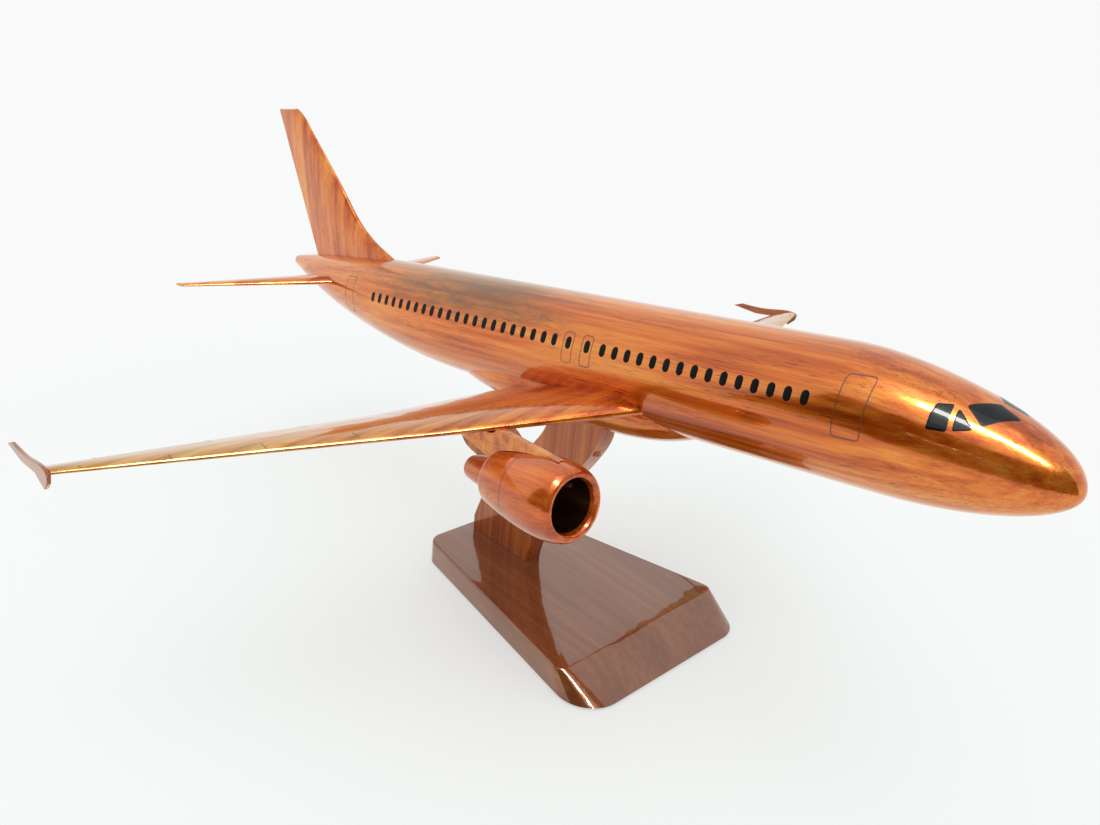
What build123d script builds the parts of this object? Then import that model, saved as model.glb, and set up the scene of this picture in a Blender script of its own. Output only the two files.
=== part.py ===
"""Desktop airliner model, 1:100, carved wood on a tilted wooden stand. Millimetres, +Z up."""

import os
from math import cos, radians, sin

from build123d import *

os.makedirs("parts", exist_ok=True)

# Aircraft dimensions. Stations run aft from the nose tip, heights from the cabin axis.
FUSELAGE_LENGTH = 376.0
CABIN_RADIUS = 19.75
NOSE_HEIGHT = -6.8
CABIN_FRONT = 64.0
CABIN_REAR = 224.0
NOSE_TOP_LENGTH = 60.5
NOSE_BELLY_LENGTH = 46.3
NOSE_SIDE_LENGTH = 63.6
BELLY_TAPER_START = CABIN_REAR
SIDE_TAPER_START = 230.0
CROWN_TAPER_START = 273.0
TAIL_TOP = 13.6
TAIL_BOTTOM = 9.6
TAIL_HALF_WIDTH = 2.0

# Wing, right side. Each row is y, leading edge, trailing edge, its two heights, thickness.
WING_ROWS = [
    (8.0, 121.9, 190.0, -11.4, -15.3, 8.2),
    (72.5, 152.1, 190.3, -12.6, -14.5, 4.3),
    (171.0, 198.2, 208.1, -13.6, -14.0, 1.6),
]
TRAILING_EDGE = 0.5
FENCE_Y = 171.0
FENCE_THICKNESS = 1.2

# Tail surfaces. Stabilizer rows match the wing's; fin rows are height, edges, thickness.
STABILIZER_ROWS = [
    (3.0, 313.8, 347.0, 7.0, 7.0, 4.4),
    (69.0, 351.0, 359.5, 8.2, 8.2, 1.3),
]
FIN_ROWS = [
    (13.0, 284.0, 353.9, 4.6),
    (17.5, 285.0, 355.8, 5.0),
    (20.5, 291.0, 357.0, 5.2),
    (24.5, 300.5, 358.7, 5.4),
    (31.0, 311.8, 361.4, 5.4),
    (50.0, 330.6, 369.4, 4.2),
    (72.0, 352.4, 378.6, 2.8),
    (80.5, 361.0, 382.2, 2.3),
    (83.4, 365.8, 383.4, 2.0),
]

# Engines.
ENGINE_Y = 58.2
ENGINE_Z = -27.8
INTAKE_STATION = 112.5
INTAKE_RADIUS = 8.7
INTAKE_DEPTH = 17.0
COWL_RADIUS = 12.4
COWL_END = 146.0
COWL_END_RADIUS = 8.9
NOZZLE_END = 160.5
NOZZLE_RADIUS = 4.5
PYLON_THICKNESS = 2.6

# Windows and doors.
WINDOW_HEIGHT = 4.0
WINDOW_WIDTH = 2.6
WINDOW_Z = 6.84
WINDOW_PITCH = 5.44
FORWARD_ROW_START = 66.05
FORWARD_ROW_COUNT = 15
EXIT_WINDOWS = (149.36, 158.22)
REAR_ROW_START = 165.17
REAR_ROW_COUNT = 22
INLAY_DEPTH = 0.9
GROOVE_WIDTH = 0.35
GROOVE_DEPTH = 0.3

# Fixings inside the wood.
WING_DOWEL_RADIUS = 1.75
TAIL_DOWEL_RADIUS = 0.9
PYLON_PIN_RADIUS = 0.6

# Stand.
PITCH = 8.4
PIVOT_STATION = 190.0
AXIS_HEIGHT = 101.3
BASE_TOP = 10.0
FELT_THICKNESS = 0.8
FELT_FRONT_HALF = 42.5
FELT_REAR_HALF = 21.0
BASE_FRONT_TOP = 62.9
BASE_FRONT_BOTTOM = 78.5
BASE_REAR = -32.4
BASE_FRONT_HALF = 46.8
BASE_REAR_HALF = 24.4
BASE_TOP_CORNER = 4.0
BASE_BOTTOM_CORNER = 13.0
BASE_REAR_CORNER = 7.0
BASE_YAW = 2.9
UPRIGHT_THICKNESS = 8.0
PEG_RADIUS = 2.0
PEG_CLEARANCE = 0.05
PEG_STATIONS = (163.0, 175.0)
SEAT_GAP = 0.3
SCREW_X = (-20.5, -3.5)
BASE_DOWEL_X = -12.0

# The stand's own X zero is below the pivot; this shift centres the whole length.
nose_x = PIVOT_STATION * cos(radians(PITCH)) - NOSE_HEIGHT * sin(radians(PITCH))
tail_x = (PIVOT_STATION - 383.4) * cos(radians(PITCH)) - 83.4 * sin(radians(PITCH))
CENTRE_SHIFT = -(nose_x + tail_x) / 2

STAND = Pos(CENTRE_SHIFT, 0, 0)
TILT = Pos(0, 0, AXIS_HEIGHT) * Rot(0, -PITCH, 0) * Pos(PIVOT_STATION, 0, 0)
CRAFT = STAND * TILT
SIDE = Plane(origin=(0, 0, 0), x_dir=(1, 0, 0), z_dir=(0, -1, 0))


def swell(station, length, power):
    """Share of the full half size at a station of the nose."""
    if station >= length:
        return 1.0
    return (1 - (1 - station / length) ** power) ** 0.5


def taper(station, start):
    """Share of the tail taper reached at a station."""
    return max(0.0, (station - start) / (FUSELAGE_LENGTH - start))


def hull_size(station):
    """Half width, top and bottom of the fuselage."""
    top = NOSE_HEIGHT + (CABIN_RADIUS - NOSE_HEIGHT) * swell(station, NOSE_TOP_LENGTH, 1.324)
    bottom = NOSE_HEIGHT - (CABIN_RADIUS + NOSE_HEIGHT) * swell(station, NOSE_BELLY_LENGTH, 1.94)
    half = CABIN_RADIUS * swell(station, NOSE_SIDE_LENGTH, 1.85)
    top -= (CABIN_RADIUS - TAIL_TOP) * taper(station, CROWN_TAPER_START) ** 2.2
    bottom += (CABIN_RADIUS + TAIL_BOTTOM) * taper(station, BELLY_TAPER_START) ** 1.81
    half -= (CABIN_RADIUS - TAIL_HALF_WIDTH) * taper(station, SIDE_TAPER_START) ** 2.3
    return half, top, bottom


def oval_loft(rows):
    """Smooth solid through ovals given as station, half width, top, bottom."""
    with BuildPart() as shell:
        for station, half, top, bottom in rows:
            middle = (-station, 0, (top + bottom) / 2)
            with BuildSketch(Plane(origin=middle, x_dir=(0, 1, 0), z_dir=(1, 0, 0))):
                Ellipse(half, (top - bottom) / 2)
        loft()
    return shell.part


def hull(inset, stations):
    """Fuselage form, drawn in by an inset."""
    rows = []
    for station in stations:
        half, top, bottom = hull_size(station)
        rows.append((station, half - inset, top - inset, bottom + inset))
    return oval_loft(rows)


def fairing(outset):
    """Belly fairing form, grown by an outset."""
    shape = [
        (106, 7.0, -16.5), (110, 9.5, -18.3), (114, 11.6, -19.9), (119, 13.3, -21.6),
        (125, 14.8, -23.2), (132, 16.0, -24.4), (142, 16.9, -25.3), (156, 17.2, -25.7),
        (172, 17.2, -25.8), (188, 17.0, -25.4), (201, 16.3, -24.6), (213, 14.8, -23.1),
        (224, 12.4, -21.2), (236, 8.6, -18.6),
    ]
    rows = []
    for station, half, bottom in shape:
        rows.append((station, half + outset, -9 + 0.5 * half + outset, bottom - outset))
    return oval_loft(rows)


def foil_points(front, rear, front_z, rear_z, thickness):
    """Upper and lower points of a wing section, both starting at the leading edge."""
    upper = [(0, 0.08), (0.03, 0.36), (0.12, 0.60), (0.32, 0.72), (0.6, 0.52)]
    lower = [(0, 0.08), (0.03, -0.16), (0.12, -0.24), (0.32, -0.28), (0.6, -0.17)]
    half_edge = TRAILING_EDGE / 2 / thickness
    lines = []
    for spots in (upper + [(1, half_edge)], lower + [(1, -half_edge)]):
        line = []
        for share, rise in spots:
            x = -front - (rear - front) * share
            line.append((x, front_z + (rear_z - front_z) * share + thickness * rise))
        lines.append(line)
    return lines


def flying_surface(rows):
    """Straight-sided solid through wing sections on the right side."""
    with BuildPart() as surface:
        for y, *section in rows:
            over, under = foil_points(*section)
            with BuildSketch(Plane(origin=(0, -y, 0), x_dir=(1, 0, 0), z_dir=(0, -1, 0))):
                with BuildLine():
                    Spline(*over, tangents=[(0, 1), (-1, -0.12)], tangent_scalars=(0.6, 1))
                    Spline(*under, tangents=[(0, -1), (-1, 0.03)], tangent_scalars=(0.6, 1))
                    Line(over[-1], under[-1])
                make_face()
        loft(ruled=True)
    return surface.part


def rod(start, end, radius):
    """Round rod between two points."""
    axis = Vector(*end) - Vector(*start)
    with BuildPart() as bar:
        with BuildSketch(Plane(origin=start, z_dir=axis)):
            Circle(radius)
        extrude(amount=axis.length)
    return bar.part


def both_sides(solid):
    """A solid and its mirror image across the centre plane."""
    return [solid, mirror(solid, about=Plane.XZ)]


def cabin(radius):
    """Straight round middle of the fuselage."""
    with BuildPart() as tube:
        with BuildSketch(Plane(origin=(-CABIN_REAR, 0, 0), x_dir=(0, 1, 0), z_dir=(1, 0, 0))):
            Circle(radius)
        extrude(amount=CABIN_REAR - CABIN_FRONT)
    return tube.part


NOSE_STATIONS = [0.05, 0.6, 1.8, 4, 7.5, 12, 18, 25, 33, 42, 52, CABIN_FRONT]
TAIL_STATIONS = [CABIN_REAR, 245, 268, 290, 312, 334, 354, 368, FUSELAGE_LENGTH]
nose_form = hull(0, NOSE_STATIONS)
cabin_form = cabin(CABIN_RADIUS)
tail_form = hull(0, TAIL_STATIONS)
fairing_form = fairing(0)

# Thin shells under the skin, for inlays and for scribed lines.
nose_shell = nose_form - hull(INLAY_DEPTH, NOSE_STATIONS[4:])
cabin_shell = cabin_form - cabin(CABIN_RADIUS - INLAY_DEPTH)
tail_shell = tail_form - hull(INLAY_DEPTH, TAIL_STATIONS[:-1])
nose_skin = nose_form - hull(GROOVE_DEPTH, NOSE_STATIONS[4:])
cabin_skin = cabin_form - cabin(CABIN_RADIUS - GROOVE_DEPTH)
tail_skin = tail_form - hull(GROOVE_DEPTH, TAIL_STATIONS[:-1])


def window_prisms(stations):
    """Upright rounded bars through the right wall, one at each station."""
    with BuildPart() as bars:
        with BuildSketch(SIDE.offset(8)):
            with Locations([(-station, WINDOW_Z) for station in stations]):
                SlotOverall(WINDOW_HEIGHT, WINDOW_WIDTH, rotation=90)
        extrude(amount=16)
    return bars.part


def door_prisms(doors):
    """Narrow rounded frames through the right wall, one for each door."""
    with BuildPart() as frames:
        with BuildSketch(SIDE.offset(5)):
            for front, rear, low, high in doors:
                with Locations((-(front + rear) / 2, (low + high) / 2)):
                    RectangleRounded(rear - front, high - low, 1.2)
                    RectangleRounded(
                        rear - front - 2 * GROOVE_WIDTH,
                        high - low - 2 * GROOVE_WIDTH,
                        0.85,
                        mode=Mode.SUBTRACT,
                    )
        extrude(amount=20)
    return frames.part


cabin_stations = [FORWARD_ROW_START + WINDOW_PITCH * i for i in range(FORWARD_ROW_COUNT)]
cabin_stations += list(EXIT_WINDOWS)
rear_stations = [REAR_ROW_START + WINDOW_PITCH * i for i in range(REAR_ROW_COUNT)]
cabin_stations += [station for station in rear_stations if station < CABIN_REAR]
tail_stations = [station for station in rear_stations if station > CABIN_REAR]
cabin_windows = window_prisms(cabin_stations) & cabin_shell
tail_windows = window_prisms(tail_stations) & tail_shell

with BuildPart() as windshield_prism:
    with BuildSketch(Plane.XY.offset(4)):
        Polygon((-15.6, -2.2), (-21.8, -0.9), (-27.3, -7.7), (-21.8, -10.2), align=None)
        fillet(vertices(), 0.7)
    extrude(amount=12)

with BuildPart() as side_pane_prisms:
    with BuildSketch(SIDE.offset(6)):
        Polygon((-28.4, 10.6), (-23.0, 6.1), (-27.5, 5.4), align=None)
        Polygon(
            (-29.5, 10.9), (-33.2, 10.9), (-33.6, 8.6), (-33.4, 5.0), (-28.6, 5.0), align=None
        )
        fillet(vertices(), 0.4)
    extrude(amount=12)

windshield_cut = windshield_prism.part & nose_shell
side_panes_cut = side_pane_prisms.part & nose_shell
nose_doors = door_prisms([(48.9, 56.8, -1.3, 14.4)]) & nose_skin
cabin_doors = door_prisms([(147.2, 151.8, 0.3, 10.2), (156.0, 160.6, 0.3, 10.2)]) & cabin_skin
tail_doors = door_prisms([(297.5, 304.8, -2.4, 12.6)]) & tail_skin

# Dowels: two in each wing, two under the fin, one through each stabilizer root.
wing_rods = [
    rod((-148, -9, -13.0), (-154, -34, -13.4), WING_DOWEL_RADIUS),
    rod((-168, -9, -13.3), (-171, -34, -13.6), WING_DOWEL_RADIUS),
]
fin_rods = [
    rod((-318, 0, 8), (-324, 0, 30), TAIL_DOWEL_RADIUS * 1.5),
    rod((-340, 0, 9), (-346, 0, 30), TAIL_DOWEL_RADIUS * 1.5),
]
tail_rods = [
    rod((-328, -3, 7.2), (-334, -20, 7.4), TAIL_DOWEL_RADIUS),
    rod((-338, -3, 7.1), (-341, -20, 7.2), TAIL_DOWEL_RADIUS),
]

# Sockets in the belly for the two pegs of the stand.
peg_sockets = [
    rod((-station, 0, -27), (-station, 0, -15), PEG_RADIUS + PEG_CLEARANCE)
    for station in PEG_STATIONS
]

with BuildPart() as nose_section:
    add(nose_form)
    for cutter in (windshield_cut, side_panes_cut, nose_doors):
        for copy in both_sides(cutter):
            add(copy, mode=Mode.SUBTRACT)

with BuildPart() as cabin_section:
    add(cabin_form)
    for cutter in (cabin_windows, cabin_doors, *wing_rods):
        for copy in both_sides(cutter):
            add(copy, mode=Mode.SUBTRACT)
    for bar in peg_sockets:
        add(bar, mode=Mode.SUBTRACT)

with BuildPart() as tail_section:
    add(tail_form)
    for cutter in (tail_windows, tail_doors, *tail_rods):
        for copy in both_sides(cutter):
            add(copy, mode=Mode.SUBTRACT)
    for bar in fin_rods:
        add(bar, mode=Mode.SUBTRACT)

with BuildPart() as fuselage:
    add(cabin_section.part)
    add(nose_section.part)
    add(tail_section.part)

with BuildPart() as belly_fairing:
    add(fairing_form)
    add(cabin_form, mode=Mode.SUBTRACT)
    add(tail_form, mode=Mode.SUBTRACT)
    for bar in wing_rods:
        for copy in both_sides(bar):
            add(copy, mode=Mode.SUBTRACT)
    for bar in peg_sockets:
        add(bar, mode=Mode.SUBTRACT)

# Pylon outline: along the nacelle crown and up under the wing's leading edge.
with BuildPart() as pylon_form:
    with BuildSketch(SIDE.offset(ENGINE_Y - PYLON_THICKNESS / 2)):
        with BuildLine():
            Polyline((-146.2, -11.7), (-116.5, -15.6))
            Spline(
                (-116.5, -15.6), (-113.6, -17.3), (-113.8, -19.5),
                tangents=[(1, -0.13), (-0.4, -1)],
            )
            Polyline((-113.8, -19.5), (-148, -22.5), (-170, -16.0), (-170, -12.0), (-146.2, -11.7))
        make_face()
    extrude(amount=PYLON_THICKNESS)

with BuildPart() as wing_blank:
    add(flying_surface(WING_ROWS))
    add(cabin_form, mode=Mode.SUBTRACT)
    add(fairing_form, mode=Mode.SUBTRACT)
    for bar in wing_rods:
        add(bar, mode=Mode.SUBTRACT)

with BuildPart() as wing_dowels_right:
    for bar in wing_rods:
        add(bar)

with BuildPart() as wing_dowels_left:
    add(mirror(wing_dowels_right.part, about=Plane.XZ))

with BuildPart() as wingtip_fence_right:
    with BuildSketch(SIDE.offset(FENCE_Y)):
        with BuildLine():
            Spline(
                (-197.6, -13.5), (-213.5, -12.6), (-230.6, -12.0), tangents=[(-0.8, 0.6), (-1, 0.1)]
            )
            Polyline((-230.6, -12.0), (-235.8, -13.4), (-222.0, -15.9), (-209.5, -15.9))
            Polyline((-209.5, -15.9), (-205.6, -17.6), (-202.2, -18.8), (-198.6, -16.2))
            Line((-198.6, -16.2), (-197.6, -13.5))
        make_face()
    extrude(amount=FENCE_THICKNESS)

with BuildPart() as wingtip_fence_left:
    add(mirror(wingtip_fence_right.part, about=Plane.XZ))

with BuildPart() as fin:
    for height, front, rear, thickness in FIN_ROWS:
        with BuildSketch(Plane.XY.offset(height)):
            with BuildLine():
                chord = rear - front
                half_edge = TRAILING_EDGE / 2
                side = [
                    (-front, 0),
                    (-front - 0.06 * chord, 0.27 * thickness),
                    (-front - 0.4 * chord, 0.5 * thickness),
                    (-front - 0.7 * chord, 0.34 * thickness),
                    (-rear, half_edge),
                ]
                Spline(*side, tangents=[(0, 1), (-1, -0.06)], tangent_scalars=(0.5, 1))
                other = [(x, -y) for x, y in side]
                Spline(*other, tangents=[(0, -1), (-1, 0.06)], tangent_scalars=(0.5, 1))
                Line((-rear, half_edge), (-rear, -half_edge))
            make_face()
    loft()
    add(tail_form, mode=Mode.SUBTRACT)
    for bar in fin_rods:
        add(bar, mode=Mode.SUBTRACT)

with BuildPart() as fin_dowels:
    for bar in fin_rods:
        add(bar)

with BuildPart() as stabilizer_right:
    add(flying_surface(STABILIZER_ROWS))
    add(tail_form, mode=Mode.SUBTRACT)
    for bar in tail_rods:
        add(bar, mode=Mode.SUBTRACT)

with BuildPart() as stabilizer_left:
    add(mirror(stabilizer_right.part, about=Plane.XZ))

with BuildPart() as stabilizer_dowels:
    for bar in tail_rods:
        for copy in both_sides(bar):
            add(copy)

# Nacelle: a turned cowl with a hollow intake, two scribed seams and a nozzle plug behind.
with BuildPart() as nacelle_blank:
    with BuildSketch(SIDE.offset(ENGINE_Y)):
        with BuildLine():
            Spline(
                (-INTAKE_STATION, ENGINE_Z + INTAKE_RADIUS + 1.3),
                (-INTAKE_STATION - 1.6, ENGINE_Z + 11.4),
                (-INTAKE_STATION - 8, ENGINE_Z + COWL_RADIUS),
                (-INTAKE_STATION - 20, ENGINE_Z + 11.7),
                (-COWL_END, ENGINE_Z + COWL_END_RADIUS),
                tangents=[(0, 1), (-1, -0.32)],
                tangent_scalars=(0.6, 1),
            )
            Line((-COWL_END, ENGINE_Z + COWL_END_RADIUS), (-COWL_END, ENGINE_Z))
            Line((-COWL_END, ENGINE_Z), (-INTAKE_STATION - INTAKE_DEPTH, ENGINE_Z))
            Spline(
                (-INTAKE_STATION - INTAKE_DEPTH, ENGINE_Z),
                (-INTAKE_STATION - INTAKE_DEPTH + 1.2, ENGINE_Z + 5.6),
                (-INTAKE_STATION - 9, ENGINE_Z + INTAKE_RADIUS - 0.1),
                (-INTAKE_STATION - 2.5, ENGINE_Z + INTAKE_RADIUS),
                (-INTAKE_STATION, ENGINE_Z + INTAKE_RADIUS + 1.3),
                tangents=[(0, 1), (0, 1)],
                tangent_scalars=(1, 0.6),
            )
        make_face()
    engine_axis = Axis((0, -ENGINE_Y, ENGINE_Z), (1, 0, 0))
    revolve(axis=engine_axis)
    for station, radius in ((121.5, 12.35), (133.0, 11.35)):
        with BuildSketch(SIDE.offset(ENGINE_Y)):
            with Locations((-station, ENGINE_Z + radius)):
                Rectangle(GROOVE_WIDTH, 2 * GROOVE_DEPTH)
        revolve(axis=engine_axis, mode=Mode.SUBTRACT)

with BuildPart() as exhaust_nozzle_right:
    with BuildSketch(SIDE.offset(ENGINE_Y)):
        with BuildLine():
            Line((-COWL_END, ENGINE_Z), (-COWL_END, ENGINE_Z + NOZZLE_RADIUS + 1.2))
            Spline(
                (-COWL_END, ENGINE_Z + NOZZLE_RADIUS + 1.2),
                (-COWL_END - 7, ENGINE_Z + NOZZLE_RADIUS + 0.3),
                (-NOZZLE_END + 0.8, ENGINE_Z + NOZZLE_RADIUS - 0.8),
                (-NOZZLE_END, ENGINE_Z + NOZZLE_RADIUS - 1.8),
            )
            Line((-NOZZLE_END, ENGINE_Z + NOZZLE_RADIUS - 1.8), (-NOZZLE_END, ENGINE_Z))
            Line((-NOZZLE_END, ENGINE_Z), (-COWL_END, ENGINE_Z))
        make_face()
    revolve(axis=engine_axis)

with BuildPart() as exhaust_nozzle_left:
    add(mirror(exhaust_nozzle_right.part, about=Plane.XZ))

# Two fine pins hold each pylon: one down into the cowl, one up into the wing.
pylon_rods = [
    rod((-122, -ENGINE_Y, -19.6), (-122, -ENGINE_Y, -16.2), PYLON_PIN_RADIUS),
    rod((-158, -ENGINE_Y, -17.6), (-158, -ENGINE_Y, -13.4), PYLON_PIN_RADIUS),
]

with BuildPart() as pylon_between:
    add(pylon_form.part)
    add(nacelle_blank.part, mode=Mode.SUBTRACT)
    add(wing_blank.part, mode=Mode.SUBTRACT)

with BuildPart() as pylon_right:
    add(pylon_between.part.solids().sort_by(SortBy.VOLUME)[-1])
    for bar in pylon_rods:
        add(bar, mode=Mode.SUBTRACT)

with BuildPart() as pylon_left:
    add(mirror(pylon_right.part, about=Plane.XZ))

with BuildPart() as pylon_pins:
    for bar in pylon_rods:
        for copy in both_sides(bar):
            add(copy)

with BuildPart() as wing_right:
    add(wing_blank.part)
    add(pylon_rods[1], mode=Mode.SUBTRACT)

with BuildPart() as wing_left:
    add(mirror(wing_right.part, about=Plane.XZ))

with BuildPart() as nacelle_right:
    add(nacelle_blank.part)
    add(pylon_rods[0], mode=Mode.SUBTRACT)

with BuildPart() as nacelle_left:
    add(mirror(nacelle_right.part, about=Plane.XZ))

with BuildPart() as cabin_windows_right:
    add(cabin_windows)
    add(tail_windows)

with BuildPart() as cabin_windows_left:
    add(mirror(cabin_windows_right.part, about=Plane.XZ))

with BuildPart() as cockpit_panes:
    for cutter in (windshield_cut, side_panes_cut):
        for copy in both_sides(cutter):
            add(copy)

# Stand pieces are drawn in the stand's own frame, with X zero under the pivot.
with BuildPart() as stand_base:
    for level, front, corner in (
        (FELT_THICKNESS, BASE_FRONT_BOTTOM, BASE_BOTTOM_CORNER),
        (BASE_TOP, BASE_FRONT_TOP, BASE_TOP_CORNER),
    ):
        with BuildSketch(Plane.XY.offset(level)):
            flare = (BASE_FRONT_HALF - BASE_REAR_HALF) / (BASE_FRONT_BOTTOM - BASE_REAR)
            front_half = BASE_FRONT_HALF - flare * (BASE_FRONT_BOTTOM - front)
            Polygon(
                (front, -front_half), (front, front_half),
                (BASE_REAR, BASE_REAR_HALF), (BASE_REAR, -BASE_REAR_HALF),
                align=None,
            )
            fillet(vertices().group_by(Axis.X)[-1], corner)
            fillet(vertices().group_by(Axis.X)[0], BASE_REAR_CORNER)
    loft(ruled=True)
    fillet(edges().group_by(Axis.Z)[-1], 0.8)

# The board sits slightly turned about the dowel that locates it under the upright.
BASE_TURN = Pos(BASE_DOWEL_X, 0, 0) * Rot(0, 0, BASE_YAW) * Pos(-BASE_DOWEL_X, 0, 0)

upright_half = UPRIGHT_THICKNESS / 2
with BuildPart() as upright:
    with BuildSketch(SIDE.offset(-upright_half)):
        with BuildLine():
            Line((-28.4, BASE_TOP), (4.8, BASE_TOP))
            Spline(
                (4.8, BASE_TOP), (8.0, 22.8), (16.0, 42.5), (28.4, 61.1), (34.9, 72.2), (36.6, 84.0),
                tangents=[(0.1, 1), (0, 1)],
            )
            Line((36.6, 84.0), (12.5, 84.0))
            Spline((12.5, 84.0), (7.7, 68.5), (3.1, 61.7), (-5.0, 54.0), tangents=[(-0.2, -1), (-1, -0.5)])
            Spline(
                (-5.0, 54.0), (-14.0, 57.0), (-26.0, 61.5), (-36.0, 61.0), (-42.5, 54.5), (-39.2, 45.9),
                (-28.6, 42.6),
                tangents=[(-1, -0.1), (1, -0.2)],
            )
            Spline(
                (-28.6, 42.6), (-22.8, 34.0), (-25.3, 24.5), (-28.4, 16.0), (-28.4, BASE_TOP),
                tangents=[(1, -0.2), (0, -1)],
            )
        make_face()
    extrude(amount=UPRIGHT_THICKNESS)
    add(TILT * fairing(SEAT_GAP), mode=Mode.SUBTRACT)
    add(TILT * cabin(CABIN_RADIUS + SEAT_GAP), mode=Mode.SUBTRACT)
upright_blank = upright.part.solids().sort_by(SortBy.VOLUME)[-1]

# Two pegs stand out of the upright and plug into the belly; the aircraft lifts off them.
with BuildPart() as lift_pegs:
    for station in PEG_STATIONS:
        with Locations((-station, 0, -38.0)):
            Cylinder(PEG_RADIUS, 22.4, align=(Align.CENTER, Align.CENTER, Align.MIN))
    chamfer(edges().filter_by(GeomType.CIRCLE).group_by(Axis.Z)[-1], 0.5)

with BuildPart() as base_screws:
    for x in SCREW_X:
        with BuildSketch(Plane(origin=(x, 0, 0), x_dir=(1, 0, 0), z_dir=(0, -1, 0))):
            Polygon(
                (0, FELT_THICKNESS + 0.3), (3.4, FELT_THICKNESS + 0.3), (3.4, FELT_THICKNESS + 0.7),
                (1.7, FELT_THICKNESS + 2.4), (1.7, 23.0), (0, 26.0),
                align=None,
            )
        revolve(axis=Axis((x, 0, 0), (0, 0, 1)))

with BuildPart() as base_dowel:
    with Locations((BASE_DOWEL_X, 0, 4.0)):
        Cylinder(2.5, 16.0, align=(Align.CENTER, Align.CENTER, Align.MIN))

with BuildPart() as stand_upright:
    add(upright_blank)
    add(TILT * lift_pegs.part, mode=Mode.SUBTRACT)
    add(base_screws.part, mode=Mode.SUBTRACT)
    add(base_dowel.part, mode=Mode.SUBTRACT)

# The screw heads sit below the felt, so their countersinks open downwards.
with BuildPart() as base_board:
    add(BASE_TURN * stand_base.part)
    add(base_screws.part, mode=Mode.SUBTRACT)
    add(base_dowel.part, mode=Mode.SUBTRACT)
    for x in SCREW_X:
        with Locations((x, 0, FELT_THICKNESS)):
            Cylinder(3.4, 0.3, align=(Align.CENTER, Align.CENTER, Align.MIN), mode=Mode.SUBTRACT)

with BuildPart() as felt_pad:
    with BuildSketch():
        Polygon(
            (BASE_FRONT_BOTTOM - 4, FELT_FRONT_HALF), (BASE_REAR + 4, FELT_REAR_HALF),
            (BASE_REAR + 4, -FELT_REAR_HALF), (BASE_FRONT_BOTTOM - 4, -FELT_FRONT_HALF),
            align=None,
        )
        fillet(vertices().group_by(Axis.X)[-1], BASE_BOTTOM_CORNER - 3)
        fillet(vertices().group_by(Axis.X)[0], BASE_REAR_CORNER - 3)
    extrude(amount=FELT_THICKNESS)

# Put every piece in the shared frame, name it and write it out.
fuselage.part.move(CRAFT)
fuselage.part.label = "fuselage"
export_step(fuselage.part, "parts/fuselage.step")

belly_fairing.part.move(CRAFT)
belly_fairing.part.label = "belly_fairing"
export_step(belly_fairing.part, "parts/belly_fairing.step")

wing_right.part.move(CRAFT)
wing_right.part.label = "wing_right"
export_step(wing_right.part, "parts/wing_right.step")

wing_left.part.move(CRAFT)
wing_left.part.label = "wing_left"
export_step(wing_left.part, "parts/wing_left.step")

wing_dowels_right.part.move(CRAFT)
wing_dowels_right.part.label = "wing_dowels_right"
export_step(wing_dowels_right.part, "parts/wing_dowels_right.step")

wing_dowels_left.part.move(CRAFT)
wing_dowels_left.part.label = "wing_dowels_left"
export_step(wing_dowels_left.part, "parts/wing_dowels_left.step")

wingtip_fence_right.part.move(CRAFT)
wingtip_fence_right.part.label = "wingtip_fence_right"
export_step(wingtip_fence_right.part, "parts/wingtip_fence_right.step")

wingtip_fence_left.part.move(CRAFT)
wingtip_fence_left.part.label = "wingtip_fence_left"
export_step(wingtip_fence_left.part, "parts/wingtip_fence_left.step")

fin.part.move(CRAFT)
fin.part.label = "fin"
export_step(fin.part, "parts/fin.step")

fin_dowels.part.move(CRAFT)
fin_dowels.part.label = "fin_dowels"
export_step(fin_dowels.part, "parts/fin_dowels.step")

stabilizer_right.part.move(CRAFT)
stabilizer_right.part.label = "stabilizer_right"
export_step(stabilizer_right.part, "parts/stabilizer_right.step")

stabilizer_left.part.move(CRAFT)
stabilizer_left.part.label = "stabilizer_left"
export_step(stabilizer_left.part, "parts/stabilizer_left.step")

stabilizer_dowels.part.move(CRAFT)
stabilizer_dowels.part.label = "stabilizer_dowels"
export_step(stabilizer_dowels.part, "parts/stabilizer_dowels.step")

nacelle_right.part.move(CRAFT)
nacelle_right.part.label = "nacelle_right"
export_step(nacelle_right.part, "parts/nacelle_right.step")

nacelle_left.part.move(CRAFT)
nacelle_left.part.label = "nacelle_left"
export_step(nacelle_left.part, "parts/nacelle_left.step")

exhaust_nozzle_right.part.move(CRAFT)
exhaust_nozzle_right.part.label = "exhaust_nozzle_right"
export_step(exhaust_nozzle_right.part, "parts/exhaust_nozzle_right.step")

exhaust_nozzle_left.part.move(CRAFT)
exhaust_nozzle_left.part.label = "exhaust_nozzle_left"
export_step(exhaust_nozzle_left.part, "parts/exhaust_nozzle_left.step")

pylon_right.part.move(CRAFT)
pylon_right.part.label = "pylon_right"
export_step(pylon_right.part, "parts/pylon_right.step")

pylon_left.part.move(CRAFT)
pylon_left.part.label = "pylon_left"
export_step(pylon_left.part, "parts/pylon_left.step")

pylon_pins.part.move(CRAFT)
pylon_pins.part.label = "pylon_pins"
export_step(pylon_pins.part, "parts/pylon_pins.step")

cabin_windows_right.part.move(CRAFT)
cabin_windows_right.part.label = "cabin_windows_right"
export_step(cabin_windows_right.part, "parts/cabin_windows_right.step")

cabin_windows_left.part.move(CRAFT)
cabin_windows_left.part.label = "cabin_windows_left"
export_step(cabin_windows_left.part, "parts/cabin_windows_left.step")

cockpit_panes.part.move(CRAFT)
cockpit_panes.part.label = "cockpit_panes"
export_step(cockpit_panes.part, "parts/cockpit_panes.step")

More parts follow.
